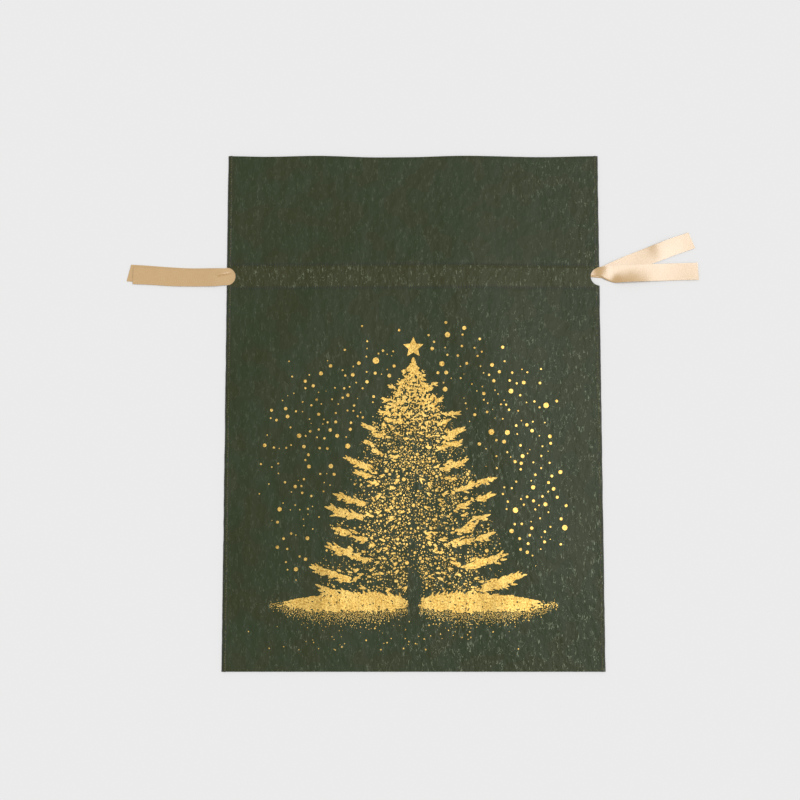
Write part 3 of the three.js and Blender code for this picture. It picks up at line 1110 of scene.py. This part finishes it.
def stipple_share(x, y, limbs):
    """How densely the tree is dotted at each place, from 0 to 1.

    The limbs are dense. The dots thin out in patches lower down, at the tips and over the trunk.
    """
    reach, down = reach_at(y), tree_down(y)
    patchy = even_noise(x.shape, 3.2 * MM, 69)
    outer = smooth((np.abs(x) / np.maximum(reach, 1e-6) - 0.35) / 0.4)
    share = 0.3 * (1 - 0.35 * outer) + 0.52 * np.clip(limbs, 0, 1) ** 0.7
    share *= 1 - smooth((down - 0.2) / 0.4) * (0.3 + 0.45 * patchy)
    share *= smooth((reach * 0.92 - np.abs(x)) / (6 * MM)) * (y < TREE_TOP) * (y > MOUND_Y)
    share *= 1 - 0.5 * smooth((6 * MM - np.abs(x)) / (4 * MM)) * smooth((down - 0.65) / 0.25)
    share *= 1 - smooth((5 * MM - np.abs(x)) / (1.5 * MM)) * smooth((down - 0.86) / 0.04)
    return share


class Dots:
    """Round dots of foil that touch neither each other nor the solid parts."""

    CELL = 2.3 * MM  # of the coarse grid that finds a dot's neighbours

    def __init__(self, field):
        self.field = field
        self.cells = {}
        self.kept = []

    def add(self, x, y, radius, gap=0.03 * MM):
        """Keeps a dot if there is room for it."""
        column, row = math.floor(x / self.CELL), math.floor(y / self.CELL)
        for i in range(column - 2, column + 3):
            for j in range(row - 2, row + 3):
                for a, b, other in self.cells.get((i, j), ()):
                    if (x - a) ** 2 + (y - b) ** 2 < (radius + other + gap) ** 2:
                        return
        reach = math.ceil((radius + gap) / PRINT_PITCH)
        spans = []
        for at, places in ((y, PRINT_Y), (x, PRINT_X)):
            middle = round((at - places[0]) / PRINT_PITCH)
            spans.append(slice(max(middle - reach, 0), max(middle + reach + 1, 0)))
        near = self.field[tuple(spans)]
        if near.size and near.max() > 0:
            return
        self.cells.setdefault((column, row), []).append((x, y, radius))
        self.kept.append((x, y, radius))


def dot_radius(draw, usual, spread_of, low, high, count=None):
    """Radii of dots round a usual one, all in millimetres until they are returned in metres."""
    return np.clip(draw.lognormal(math.log(usual), spread_of, count), low, high) * MM


def tree_dots(dots, share):
    """The stippled inside of the tree: large dots first, then ever smaller ones between them."""
    draw = np.random.default_rng(66)
    tries = 75000
    xs = draw.uniform(-TREE_REACH, TREE_REACH, tries)
    ys = draw.uniform(MOUND_Y, TREE_TOP, tries)
    radii = np.sort(dot_radius(draw, 0.3, 0.5, 0.19, 1.3, tries))[::-1]
    kept = sampled(share, PRINT_X, PRINT_Y, xs, ys) > draw.uniform(0, 1, tries) ** 0.8
    for x, y, radius in zip(xs[kept], ys[kept], radii[kept]):
        dots.add(x, y, radius, gap=0.12 * MM)


def fringe_dots(dots):
    """Specks that thin out below the snow and beyond its ends."""
    draw = np.random.default_rng(67)
    for _ in range(13000):
        x = draw.choice((-1, 1)) * draw.uniform(MOUND_INNER, MOUND_OUTER + 4 * MM)
        full = float(mound_top(x)[1])
        if draw.uniform() > 0.12 + full:
            continue
        below = draw.exponential(1.7 * MM) * (0.25 + full)
        y = MOUND_Y - 3 * MM * full + draw.normal(0, 1.2 * MM) - below + 0.8 * MM
        dots.add(x, y, dot_radius(draw, 0.27, 0.25, 0.2, 0.5))


def snow_dots(dots):
    """Falling snow round the tree, thinning outwards, and a few stray specks below."""
    draw = np.random.default_rng(65)
    while len(dots.kept) < SNOW_COUNT:
        x, y = draw.uniform(-SNOW_X, SNOW_X), draw.uniform(*SNOW_Y)
        radius = dot_radius(draw, 0.74, 0.45, 0.28, 2.2)
        clear = abs(x) > reach_at(y) + 2 * MM or y > TREE_TOP + 16 * MM
        across, along = abs(x) / SNOW_REACH[0], abs(y - SNOW_MIDDLE_Y) / SNOW_REACH[1]
        outward = (across**3 + along**3) ** (1 / 3)
        if clear and draw.uniform() > smooth((outward - 0.66) / 0.34):
            dots.add(x, y, radius, gap=SNOW_GAP)
    for _ in range(60):
        x = np.clip(draw.normal(-8 * MM, 50 * MM), -SNOW_X, SNOW_X)
        dots.add(x, draw.uniform(*STRAY_Y), draw.uniform(0.22, 0.6) * MM)


# Faces of each marching-squares case: corners 0 to 3 go round from the low corner, and edges 4 to 7
# follow corners 0 to 3.
CASES = {
    1: [(0, 4, 7)], 2: [(4, 1, 5)], 3: [(0, 1, 5, 7)], 4: [(5, 2, 6)], 5: [(0, 4, 7), (5, 2, 6)],
    6: [(4, 1, 2, 6)], 7: [(0, 1, 2, 6, 7)], 8: [(7, 6, 3)], 9: [(0, 4, 6, 3)],
    10: [(4, 1, 5), (7, 6, 3)], 11: [(0, 1, 5, 6, 3)], 12: [(7, 5, 2, 3)], 13: [(0, 4, 5, 2, 3)],
    14: [(4, 1, 2, 3, 7)], 15: [(0, 1, 2, 3)],
}


def outlined(field, xs, ys):
    """Flat vertices and faces of where field is above 0, by marching squares."""
    rows, columns = field.shape
    x, y = np.meshgrid(xs, ys)
    inside = field > 0
    index = np.arange(rows * columns).reshape(rows, columns)
    total = rows * columns

    def crossing(a, b, at_a, at_b):
        with np.errstate(divide="ignore", invalid="ignore"):
            share = np.clip(np.nan_to_num(a / (a - b)), 0.02, 0.98)
        return at_a + (at_b - at_a) * share

    level_x = crossing(field[:, :-1], field[:, 1:], x[:, :-1], x[:, 1:])
    upright_y = crossing(field[:-1], field[1:], y[:-1], y[1:])
    vertices = np.concatenate([
        np.column_stack([x.ravel(), y.ravel()]),
        np.column_stack([level_x.ravel(), y[:, :-1].ravel()]),
        np.column_stack([x[:-1].ravel(), upright_y.ravel()]),
    ])
    level = total + np.arange(level_x.size).reshape(level_x.shape)
    upright = total + level_x.size + np.arange(upright_y.size).reshape(upright_y.shape)
    around = [
        index[:-1, :-1], index[:-1, 1:], index[1:, 1:], index[1:, :-1],
        level[:-1], upright[:, 1:], level[1:], upright[:, :-1],
    ]
    case = inside[:-1, :-1] + 2 * inside[:-1, 1:] + 4 * inside[1:, 1:] + 8 * inside[1:, :-1]
    faces = []
    for number, shapes in CASES.items():
        at = np.nonzero(case == number)
        for shape in shapes:
            faces += np.stack([around[k][at] for k in shape], axis=-1).tolist()
    used = np.unique(np.concatenate([np.asarray(face) for face in faces]))
    renumber = np.full(len(vertices), -1)
    renumber[used] = np.arange(len(used))
    return vertices[used], [renumber[face].tolist() for face in faces]


def panel_surface():
    """The front's outer face as its own mesh has it, so that the foil follows the same facets."""
    xs = spread(-HALF_WIDTH, HALF_WIDTH, PANEL_PITCH)
    x, y = np.meshgrid(xs, FRONT_ROWS)
    heights = front_top(x, y)
    return lambda at_x, at_y: sampled(heights, xs, FRONT_ROWS, at_x, at_y)


def foil_print():
    """The whole print as one thin layer of foil just above the front."""
    x, y = np.meshgrid(PRINT_X, PRINT_Y)
    twigs, limbs = tree_fields(x, y)
    tufts(twigs, x, y)
    field = solid_field(x, y, twigs)
    flat, faces = outlined(field, PRINT_X, PRINT_Y)
    dots = Dots(field)
    snow_dots(dots)
    tree_dots(dots, stipple_share(x, y, limbs))
    fringe_dots(dots)
    outlines = [flat]
    first = len(flat)
    for x, y, radius in dots.kept:
        sides = 6 + round(6 * radius / MM)
        a = np.linspace(0, 2 * np.pi, sides, endpoint=False) + x / MM
        outlines.append(np.column_stack([x + radius * np.cos(a), y + radius * np.sin(a)]))
        faces.append(list(range(first, first + sides)))
        first += sides
    flat = np.concatenate(outlines)
    z = panel_surface()(flat[:, 0], flat[:, 1]) + FOIL_LIFT
    piece = add_mesh("foil_print", np.column_stack([flat, z]), faces, flat, FOIL)
    arched(piece)


# ---- stage


FLOOR_REACH = 6.0
DOME_STRENGTH = 0.478
KEY_ENERGY = 1.97
KEY_ANGLE = math.radians(40)
KEY_TOWARDS = Vector((0.49, 0.04, 1.0))


def stage():
    """A pale floor under an even dome of light, with a soft key from the right."""
    corner = np.array([(-1, -1, 0), (1, -1, 0), (1, 1, 0), (-1, 1, 0)]) * FLOOR_REACH
    add_mesh("floor", corner, [(0, 1, 2, 3)], corner[:, :2], floor_material())

    world = bpy.data.worlds.new("dome")
    world.use_nodes = True
    background = world.node_tree.nodes["Background"]
    background.inputs["Color"].default_value = (1, 1, 1, 1)
    background.inputs["Strength"].default_value = DOME_STRENGTH
    bpy.context.scene.world = world

    key = bpy.data.lights.new("key", "SUN")
    key.energy = KEY_ENERGY
    key.angle = KEY_ANGLE
    in_scene("key", key).rotation_euler = KEY_TOWARDS.to_track_quat("Z", "Y").to_euler()
    bpy.context.scene.view_settings.view_transform = "Standard"


CAMERA_TILT = math.radians(4.9)
CAMERA_DISTANCE = 0.7685
CAMERA_TARGET = Vector((-0.0092, 0.0062, 0.0))


def camera():
    """Straight above the sack, leaning a little towards its bottom."""
    data = bpy.data.cameras.new("camera")
    data.lens = 50
    data.clip_start = 0.01
    view = in_scene("camera", data)
    back = Vector((0, -math.sin(CAMERA_TILT), math.cos(CAMERA_TILT)))
    view.location = CAMERA_TARGET + back * CAMERA_DISTANCE
    view.rotation_euler = (CAMERA_TILT, 0, 0)
    bpy.context.scene.camera = view


camera()
stage()
back_web()
front_web()
bottom_fold()
weld_rows()
side_seams()
ribbons()
foil_print()
